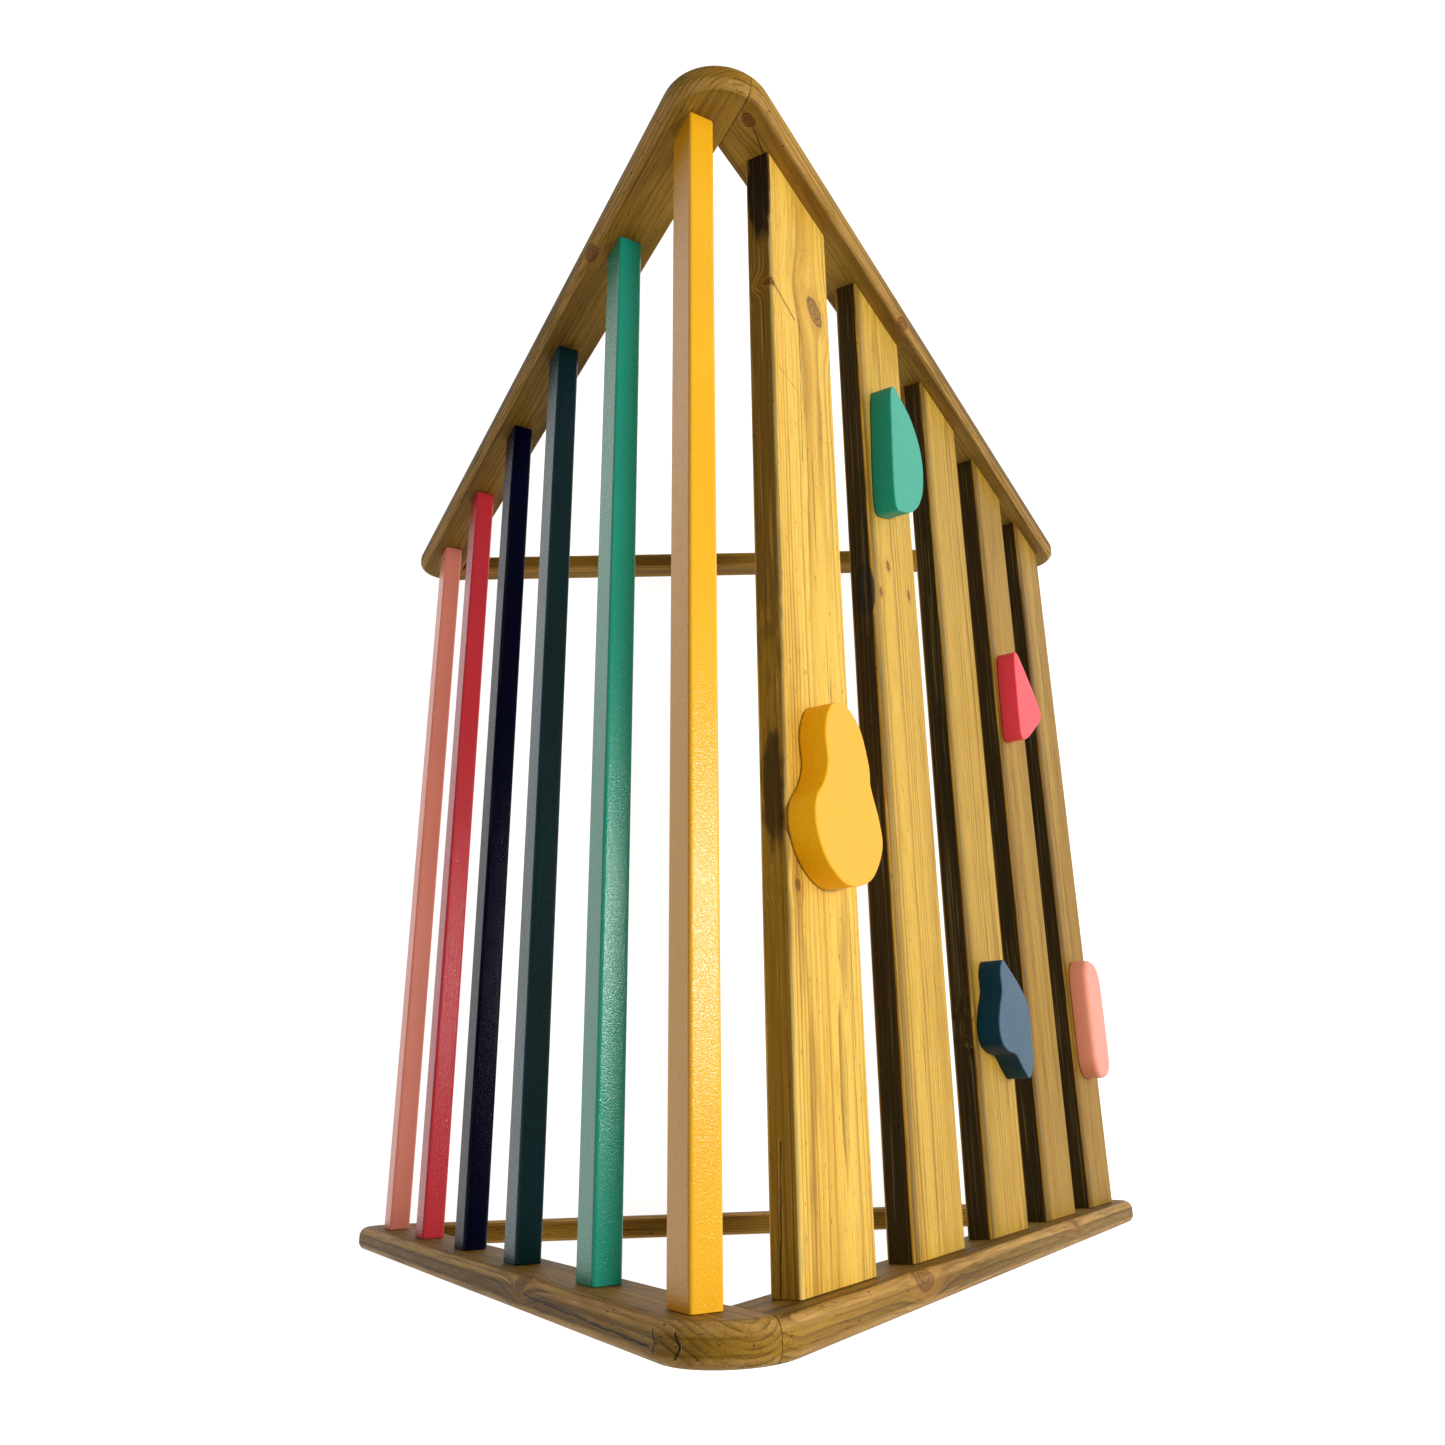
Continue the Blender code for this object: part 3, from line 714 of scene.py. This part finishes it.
def leg_plan(side):
    """The plan of a leg in the plane of the A, with a wide arris on all its outer edges.

    Foot corner, arc round the foot, straight outer edge, arc over the apex, seam and inner edge.
    Every ring is the same figure again: arcs of smaller radius round the same centres, and
    straight edges moved in. The arc over the apex ends where its circle crosses the seam, which
    is the line of the rung side's inner edge and lies LEG_WIDTH - APEX_RADIUS from its centre.
    """
    foot_reach = FOOT_RADIUS / math.tan((math.pi / 2 - HALF_ANGLE) / 2)
    foot_centre = (-OUTER_APEX * TAN + foot_reach, FOOT_RADIUS)
    apex_height = OUTER_APEX - APEX_RADIUS / SIN
    square = math.pi - HALF_ANGLE
    beside = LEG_WIDTH - APEX_RADIUS
    seam_length = math.sqrt(APEX_RADIUS ** 2 - beside ** 2) + (apex_height - RIDGE_HEIGHT) * COS
    apex, up, inward = np.array([0, RIDGE_HEIGHT]), np.array([SIN, COS]), np.array([-COS, SIN])
    flip = np.array([-1, 1])
    levels = (seam_length - ROUNDING_SUPPORT, APEX_SUPPORT)

    def plan(cut, extra, face):
        """The same on both faces."""
        outer, inner, seam = (r * cut + extra for r in (OUTER_ARRIS, INNER_ARRIS, SEAM_ARRIS))
        foot = arc(foot_centre, FOOT_RADIUS - outer, 1.5 * math.pi, square, 22)
        corner = [-RIDGE_HEIGHT * TAN - inner / COS + outer * TAN, outer]
        low = apex - up * (RIDGE_HEIGHT / COS - FOOT_SUPPORT) + inward * inner
        if side == "rung":
            end = math.acos((beside - seam) / (APEX_RADIUS - outer)) - HALF_ANGLE
            seams = [apex + up * level + inward * seam for level in levels]
            crotch = [apex + inward * inner]
        else:
            away = SEAM_GAP + seam
            end = square + HALF_ANGLE \
                - (math.acos((beside + away) / (APEX_RADIUS - outer)) - HALF_ANGLE)
            seams = [apex + (up * level - inward * away) * flip for level in levels]
            crotch = [[-(inner + away) / (2 * COS), RIDGE_HEIGHT + (inner - away) / (2 * SIN)],
                      apex - up * CROTCH_SUPPORT + inward * inner]
        top = arc((0, apex_height), APEX_RADIUS - outer, square, end,
                  30 if side == "rung" else 8)
        points = np.vstack([[corner], foot, top, seams, crotch, [low]])
        arris = np.full(len(points), OUTER_ARRIS)
        arris[-1 - len(crotch):] = INNER_ARRIS
        arris[-3 - len(crotch):-1 - len(crotch)] = SEAM_ARRIS
        if side == "rung":
            return points[::-1], arris[::-1]
        return points * flip, arris

    return plan


def leg(side, end, material):
    """A leg, whose grain coordinates run down from the apex, out and along Y."""
    name = f"leg_{side}_side_{end}"
    place = frame_plane(end)
    own = (APEX + place[0], DOWN[side], OUT[side], ACROSS)
    piece = slab(f"look_{name}", leg_plan(side), LEG_THICKNESS / 2, place, own, material, steps=8)
    finish_piece(piece, name)


def rail(end, material):
    """The rail on the ground, cut to the slopes of the legs' inner edges."""
    name = f"ground_rail_{end}"
    place = frame_plane(end)
    bottom = RIDGE_HEIGHT * TAN - RAIL_GAP / COS
    top = bottom - RAIL_HEIGHT * TAN
    plan, _ = mitred([(-bottom, 0), (bottom, 0), (top, RAIL_HEIGHT), (-top, RAIL_HEIGHT)],
                     (RAIL_ARRIS, SEAM_ARRIS, RAIL_ARRIS, SEAM_ARRIS))
    piece = slab(f"look_{name}", plan, LEG_THICKNESS / 2, place, place, material)
    finish_piece(piece, name)


# ---- Rungs and planks ----------------------------------------------
def middle_of(node):
    """The middle of a solid's box, and the box's half-sizes."""
    low, high = (np.array(corner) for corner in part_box(node))
    return (low + high) / 2, (high - low) / 2


def bar_section(width, depth, ease, steps=6):
    """Rounded rectangle, and for its edges the masks of the corner arcs and of the side towards
    the ridge. The first is the sine of twice the turn along each arc."""
    u, v = width / 2 - ease, depth / 2 - ease
    quarter = math.pi / 2
    points = np.vstack([arc((x, y), ease, turn * quarter, (turn + 1) * quarter, steps)
                        for turn, (x, y) in enumerate(((u, v), (-u, v), (-u, -v), (u, -v)))])
    swell = np.sin(2 * np.linspace(0, quarter, steps + 1))
    bulge = np.tile(np.append((swell[:-1] + swell[1:]) / 2, 0.0), 4)
    towards_ridge = np.zeros(len(points))
    towards_ridge[steps + 1 + steps // 2:2 * (steps + 1) + steps // 2] = 1.0
    return points, bulge, towards_ridge


def bar(node, side, width, depth, ease, material):
    """A rung or plank: its section carried along Y between the two frames."""
    centre, half_box = middle_of(node)
    points, bulge, ridge = bar_section(width, depth, ease)
    place = (centre, DOWN[side], OUT[side], ACROSS)
    own = (centre * (1, 0, 1), ACROSS, DOWN[side], OUT[side])
    plan, keep = mitred(points, BAR_END_EASE)
    piece = slab(f"look_{node}", plan, half_box[1], place, own, material, steps=3,
                 side=sum(spread(ridge, keep)) / 2, corner=np.maximum(*spread(bulge, keep)),
                 rim=0.0)
    finish_piece(piece, node)


# ---- Holds ---------------------------------------------------------
def on_plank(number, below, y):
    """A place inside a plank, below its middle line and along Y."""
    return middle_of(f"plank_{number}")[0] * (1, 0, 1) + DOWN["plank"] * below + ACROSS * y


def smooth_outline(points, steps=8):
    """Closed Catmull-Rom curve through points in millimetres, in metres."""
    p1 = np.asarray(points, float)
    p0, p2, p3 = (np.roll(p1, shift, axis=0) for shift in (1, -1, -2))
    t = (np.arange(steps) / steps)[None, :, None]
    p0, p1, p2, p3 = (p[:, None, :] for p in (p0, p1, p2, p3))
    curve = 0.5 * (2 * p1 + (p2 - p0) * t + (2 * p0 - 5 * p1 + 4 * p2 - p3) * t ** 2
                   + (3 * p1 - p0 - 3 * p2 + p3) * t ** 3)
    return curve.reshape(-1, 2) / 1000


def hold(colour, material):
    """A painted hold, cut to its outline, flat against its plank."""
    number, below, y, arris, points = HOLDS[colour]
    lift = (PLANK_THICKNESS + HOLD_THICKNESS) / 2
    origin = on_plank(number, below, y) + OUT["plank"] * lift
    plan, _ = mitred(smooth_outline(points), arris, HOLD_FOOT_EASE, HOLD_INSET)
    place = (origin, DOWN["plank"], ACROSS, OUT["plank"])
    own = (origin, ACROSS, DOWN["plank"], OUT["plank"])
    piece = slab(f"look_hold_{colour}", plan, (HOLD_THICKNESS - HOLD_GAP) / 2, place, own,
                 material, side=1.0, inset=HOLD_INSET)
    finish_piece(piece, f"hold_{colour}")


# ---- Screws --------------------------------------------------------
def screw_head(name, centre, outward, node=None):
    """A countersunk head with a square drive, just proud of the wood and set in a ring of
    painted shade.

    Rings run from the middle of the head out to its rim and back under it. The top is
    z = proud (1 - (r/R)^2 / 2), less the drive's depth where max(|x|, |y|) is inside its square.
    level lowers the rings beyond the rim.
    """
    share = np.array([0.12, 0.26, 0.34, 0.42, 0.60, 0.90, 1.0, 1.16, 1.2, 0.6])   # of R
    level = np.array([0, 0, 0, 0, 0, 0, 0, -0.2, -1.5, -3.0]) * SCREW_PROUD
    sides = 24
    turn = 2 * np.pi * np.arange(sides) / sides
    r, t = np.meshgrid(share * SCREW_HEAD, turn, indexing="ij")
    x, y = r * np.cos(t), r * np.sin(t)
    top = SCREW_PROUD * (1 - (r / SCREW_HEAD) ** 2 / 2) + level[:, None]
    drive = (np.maximum(np.abs(x), np.abs(y)) < 0.30 * SCREW_HEAD) & (share < 0.5)[:, None]
    z = np.where(drive, top - DRIVE_DEPTH, top)

    w = np.asarray(outward, float)
    u = np.cross(ACROSS if abs(w[1]) < 0.5 else (0, 0, 1.0), w)
    u /= np.linalg.norm(u)
    poles = np.array([[0, 0, SCREW_PROUD - DRIVE_DEPTH], [0, 0, level[-1]]])
    local = np.vstack([np.stack([x, y, z], axis=-1).reshape(-1, 3), poles])
    verts = np.asarray(centre) + local @ np.stack([u, np.cross(w, u), w])

    rows = len(share)
    faces = [face[::-1] for face in grid_faces(rows, sides)]
    upper_pole, last = rows * sides, (rows - 1) * sides
    for j in range(sides):
        k = (j + 1) % sides
        faces += [[upper_pole, j, k], [upper_pole + 1, last + k, last + j]]
    part = np.zeros((len(verts), 3))
    # Painted shade in the drive recess and in the ring beyond the rim.
    part[:-2, 0] = (drive | (share > 1.05)[:, None]).ravel()
    part[-2:, 0] = 1.0
    finish_piece(object_from(name, verts, faces, {"part": part}, STEEL), node)


def frame_screws():
    """Heads of the screws that hold the rungs and planks, on the frames' outer faces."""
    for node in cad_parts:
        if node.startswith(("rung_screw", "plank_screw")):
            outward = ACROSS * END_SIGN["near" if "near" in node else "far"]
            centre = middle_of(node)[0] * (1, 0, 1) + outward * (HALF_LENGTH + LEG_THICKNESS)
            screw_head(f"look_{node}", centre, outward, node)


def hold_screws():
    """Two heads behind each hold, on its plank's back."""
    for colour, (number, below, y, *_) in HOLDS.items():
        for index, shift in enumerate((-HOLD_SCREW_REACH, HOLD_SCREW_REACH), 1):
            centre = on_plank(number, below, y + shift) - OUT["plank"] * HALF_PLANK
            screw_head(f"hold_screw_{colour}_{index}", centre, -OUT["plank"])


# ---- Finishes ------------------------------------------------------
LEG_LIGHT, LEG_DARK, LEG_BAND = srgb(166, 126, 44), srgb(42, 27, 4), srgb(116, 80, 22)
# The legs' arris tone is a painted highlight along their rounded arrises.
LEG_ARRIS_TONE, LEG_END = srgb(178, 136, 70), srgb(150, 110, 34)
PLANK_LIGHT, PLANK_DARK, PLANK_BAND = srgb(224, 180, 76), srgb(100, 62, 12), srgb(200, 148, 48)
# Plank 1's arris tone is a painted highlight along its rounded corners.
PLANK_ARRIS_TONE, PLANK_END = srgb(238, 204, 116), srgb(112, 80, 28)
# Plank 1's edge towards the ridge is painted shade on clean wood, with its tone on the pale lines
# of the grain; the other planks' edge below is dark stain with painted shade.
PLANK_1_EDGE_SHADE, PLANK_1_PALE_LINE_SHADE = srgb(146, 116, 36), srgb(192, 158, 74)
DARK_EDGE_STAIN_AND_SHADE, THIN_EDGE_STAIN_AND_SHADE = srgb(28, 25, 10), srgb(104, 92, 56)
EDGE_CREEP = 0.028                                      # of the edge's darkening over a plank's face

# Pith, knots and cracks lie in a leg's directions: down from the apex, out from its inner edge
# and along Y. On the rung side's near leg a long crack runs down the outer edge, two bent marks
# lie over the sunk screws, and a short crack runs over the rounded apex.
LEGS = {
    ("rung", "near"): dict(seed=1.0, pith=(0, 0.020, 0.030), spacing=0.0046, knots=(
        ((0.262, 0.060, 0.011), (0.016, 0.008, 0.009), 0.9),),
        cracks=(((-0.012, 0.063, -0.003), (0.26, 0.0, 0.005), 0.0012, 1.0),
                ((-0.0165, 0.0629, -0.007), (-0.004, 0.0, 0.007), 0.0012, 1.0),
                ((-0.0205, 0.0627, 0.0), (0.004, 0.0, 0.007), 0.0012, 1.0),
                ((-0.0385, 0.0573, -0.007), (-0.004, -0.0018, 0.007), 0.0012, 1.0),
                ((-0.0425, 0.0555, 0.0), (0.004, 0.0018, 0.007), 0.0012, 1.0),
                ((-0.020, 0.0627, 0.0), (-0.020, -0.006, 0.0), 0.0009, 0.9))),
    ("plank", "near"): dict(seed=2.0, pith=(0, 0.030, -0.025), spacing=0.0042, knots=(
        ((0.196, 0.062, 0.010), (0.020, 0.010, 0.012), 0.75),
        ((0.680, 0.058, 0.012), (0.014, 0.008, 0.008), 0.6))),
    ("rung", "far"): dict(seed=3.0, pith=(0, 0.010, -0.040), spacing=0.0040, knots=(
        ((0.190, 0.058, -0.010), (0.014, 0.007, 0.008), 0.85),)),
    ("plank", "far"): dict(seed=4.0, pith=(0, 0.055, -0.030), spacing=0.0044, knots=(
        ((-0.013, 0.041, -0.0135), (0.009, 0.006, 0.010), 1.0),
        ((0.327, 0.060, -0.012), (0.012, 0.007, 0.008), 0.85)),
        cracks=(((-0.002, 0.040, -0.0135), (0.027, -0.004, 0.0), 0.0009, 0.95),)),
}
# A plank's directions are along Y, down the slope and out, from its middle.
PLANKS = {
    1: dict(seed=11.0, pith=(0, 0.015, -0.060), spacing=0.0038, arris=PLANK_ARRIS_TONE,
            edge=PLANK_1_EDGE_SHADE, pale_edge=PLANK_1_PALE_LINE_SHADE, creep=0.0, knots=(
                ((0.376, 0.0290, HALF_PLANK), (0.015, 0.018, 0.05), 0.85),
                ((0.345, -0.062, HALF_PLANK), (0.0045, 0.005, 0.010), 1.0),
                ((-0.217, -0.050, HALF_PLANK), (0.005, 0.004, 0.02), 0.95)),
            cracks=(((0.345, -0.060, HALF_PLANK), (-0.012, 0.042, 0.0), 0.0016, 0.85),
                    ((0.340, -0.008, HALF_PLANK), (-0.16, -0.004, 0.0), 0.0010, 0.8),
                    ((0.256, -0.055, HALF_PLANK), (-0.004, 0.040, 0.0), 0.0007, 0.6),
                    ((0.225, 0.018, HALF_PLANK), (0.006, 0.026, 0.0), 0.0007, 0.55),
                    ((-0.400, -0.0635, -0.001), (-0.098, 0.0, -0.003), 0.0008, 0.9)),
            stains=(((0.28, -0.0635, 0.0), (0.32, 0.004, 0.05), 0.45),
                    ((0.47, -0.0635, 0.002), (0.075, 0.004, 0.014), 1.0),
                    ((-0.14, -0.0635, 0.0), (0.050, 0.004, 0.010), 0.8))),
    2: dict(seed=12.0, pith=(0, -0.020, -0.050), spacing=0.0034, knots=(
                ((0.163, -0.018, HALF_PLANK), (0.006, 0.005, 0.03), 0.95),
                ((0.122, -0.043, HALF_PLANK), (0.006, 0.004, 0.03), 0.95),
                ((0.153, 0.039, HALF_PLANK), (0.006, 0.005, 0.03), 0.85)),
            stains=(((0.121, -0.0635, 0.004), (0.030, 0.006, 0.012), 0.9),)),
    3: dict(seed=13.0, pith=(0, 0.030, -0.055), spacing=0.0036, knots=(
                ((-0.300, -0.050, HALF_PLANK), (0.007, 0.006, 0.03), 0.8),)),
    4: dict(seed=14.0, pith=(0, -0.035, -0.045), spacing=0.0034),
    5: dict(seed=15.0, pith=(0, 0.010, -0.060), spacing=0.0036),
}
PLANK_TONES = {1: 1.0, 2: 0.80, 3: 0.68, 4: 0.55, 5: 0.55}
# Each rung's paint on its faces and lower edge, painted in shade, its paint on the edge towards
# the ridge, painted lit, and its specular level. Below, each hold's paint on its front, painted
# paler with a painted sheen, and on its side, painted in shade, and its specular level.
PAINTS = {
    "yellow": (srgb(206, 141, 0), srgb(242, 178, 30), 0.32),
    "green": (srgb(0, 134, 104), srgb(10, 156, 130), 0.46),
    "teal": (srgb(14, 62, 72), srgb(14, 56, 66), 0.20),
    "navy": (srgb(4, 4, 34), srgb(1, 4, 34), 0.06),
    "red": (srgb(186, 30, 46), srgb(197, 48, 58), 0.20),
    "coral": (srgb(244, 140, 116), srgb(248, 152, 130), 0.20),
}
HOLD_PAINTS = {
    "yellow": (srgb(238, 166, 48), srgb(252, 184, 10), 0.12),
    "green": (srgb(50, 154, 128), srgb(28, 146, 118), 0.16),
    "teal": (srgb(66, 92, 112), srgb(10, 54, 70), 0.10),
    "red": (srgb(228, 80, 90), srgb(236, 66, 76), 0.12),
    "coral": (srgb(240, 150, 130), srgb(232, 148, 116), 0.12),
}

STEEL = steel()
for (side, end), figure in LEGS.items():
    wood = timber(f"timber_leg_{side}_{end}", LEG_LIGHT, LEG_DARK, LEG_BAND,
                  arris=LEG_ARRIS_TONE, outline=0.3, fade=0.42, end=LEG_END, **figure)
    leg(side, end, wood)
for seed, end in ((6.0, "near"), (7.0, "far")):
    rail(end, timber(f"timber_rail_{end}", LEG_LIGHT, LEG_DARK, LEG_BAND, seed,
                     arris=LEG_ARRIS_TONE, outline=0.15, end=LEG_END))
for number, figure in PLANKS.items():
    light, dark, band = (browned(colour, PLANK_TONES[number])
                         for colour in (PLANK_LIGHT, PLANK_DARK, PLANK_BAND))
    usual = {"arris": band, "edge": DARK_EDGE_STAIN_AND_SHADE, "pale_edge": THIN_EDGE_STAIN_AND_SHADE, "creep": EDGE_CREEP}
    wood = timber(f"timber_plank_{number}", light, dark, band, end=PLANK_END, **(usual | figure))
    bar(f"plank_{number}", "plank", PLANK_WIDTH, PLANK_THICKNESS, PLANK_EASE, wood)
for number, colour in enumerate(RUNGS, 1):
    bar(f"rung_{number}_{colour}", "rung", RUNG_WIDTH, RUNG_DEPTH, RUNG_EASE,
        paint(f"paint_rung_{colour}", *PAINTS[colour]))
for colour in HOLDS:
    hold(colour, paint(f"paint_hold_{colour}", *HOLD_PAINTS[colour], roughness=0.46,
                       stipple=0.7, foot=-HOLD_THICKNESS / 2))
frame_screws()
hold_screws()
for node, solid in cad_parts.items():
    if node.startswith("apex_screw"):
        solid.data.materials.clear()
        solid.data.materials.append(STEEL)


# ---- Floor, light and camera ---------------------------------------
def floor():
    """A wide pale floor under the feet. Its own glow keeps it pale where the light falls off."""
    reach, albedo, glow = 30.0, 0.45, 0.88
    mesh = bpy.data.meshes.new("floor")
    mesh.from_pydata([(-reach, -reach, 0), (reach, -reach, 0), (reach, reach, 0),
                      (-reach, reach, 0)], [], [(0, 1, 2, 3)])
    made, tree, shader = shaded("pale_floor")
    feed(tree, shader.inputs, {
        "Base Color": (albedo, albedo, albedo, 1.0), "Emission Color": (1.0, 1.0, 1.0, 1.0),
        "Emission Strength": glow, "Roughness": 0.9, "Specular IOR Level": 0.1})
    mesh.materials.append(made)
    piece = bpy.data.objects.new("floor", mesh)
    bpy.context.scene.collection.objects.link(piece)


def area_light(name, place, target, size, power):
    """A round soft light at place that faces target, its size in metres and its power in watts."""
    data = bpy.data.lights.new(name, "AREA")
    data.shape, data.size, data.energy = "DISK", size, power
    light = bpy.data.objects.new(name, data)
    back = np.asarray(place, float) - np.asarray(target, float)
    light.location = place
    light.rotation_euler = (math.atan2(math.hypot(back[0], back[1]), back[2]), 0,
                            math.atan2(back[0], -back[1]))
    bpy.context.scene.collection.objects.link(light)


def camera():
    """At eye level above the near frame, looking steeply down between the slopes."""
    data = bpy.data.cameras.new("camera")
    data.sensor_width, data.lens = 36.0, 27.95
    data.shift_x = -0.0474
    data.clip_start, data.clip_end = 0.05, 100.0
    view = bpy.data.objects.new("camera", data)
    view.location = (0.02716, -0.39102, 1.72398)
    view.rotation_euler = [math.radians(turn) for turn in (19.894, -1.1236, -1.7496)]
    bpy.context.scene.collection.objects.link(view)
    bpy.context.scene.camera = view


def studio(strength=0.34, tint=(1.0, 0.995, 0.985, 1.0)):
    """Even, slightly warm light from all around."""
    world = bpy.data.worlds.new("studio")
    world.use_nodes = True
    background = world.node_tree.nodes["Background"]
    feed(world.node_tree, background.inputs, {"Color": tint, "Strength": strength})
    bpy.context.scene.world = world


floor()
area_light("key", place=(2.20, -0.12, 2.66), target=(-0.1, -0.2, 0.6), size=0.5, power=60.0)
area_light("low_side", place=(4.2, 0.6, 1.7), target=(0.2, 0.0, 0.5), size=2.4, power=50.0)
area_light("fill", place=(-3.0, -1.0, 2.6), target=(-0.1, 0.0, 0.4), size=2.5, power=8.0)
studio()
bpy.context.scene.view_settings.view_transform = "Standard"
camera()
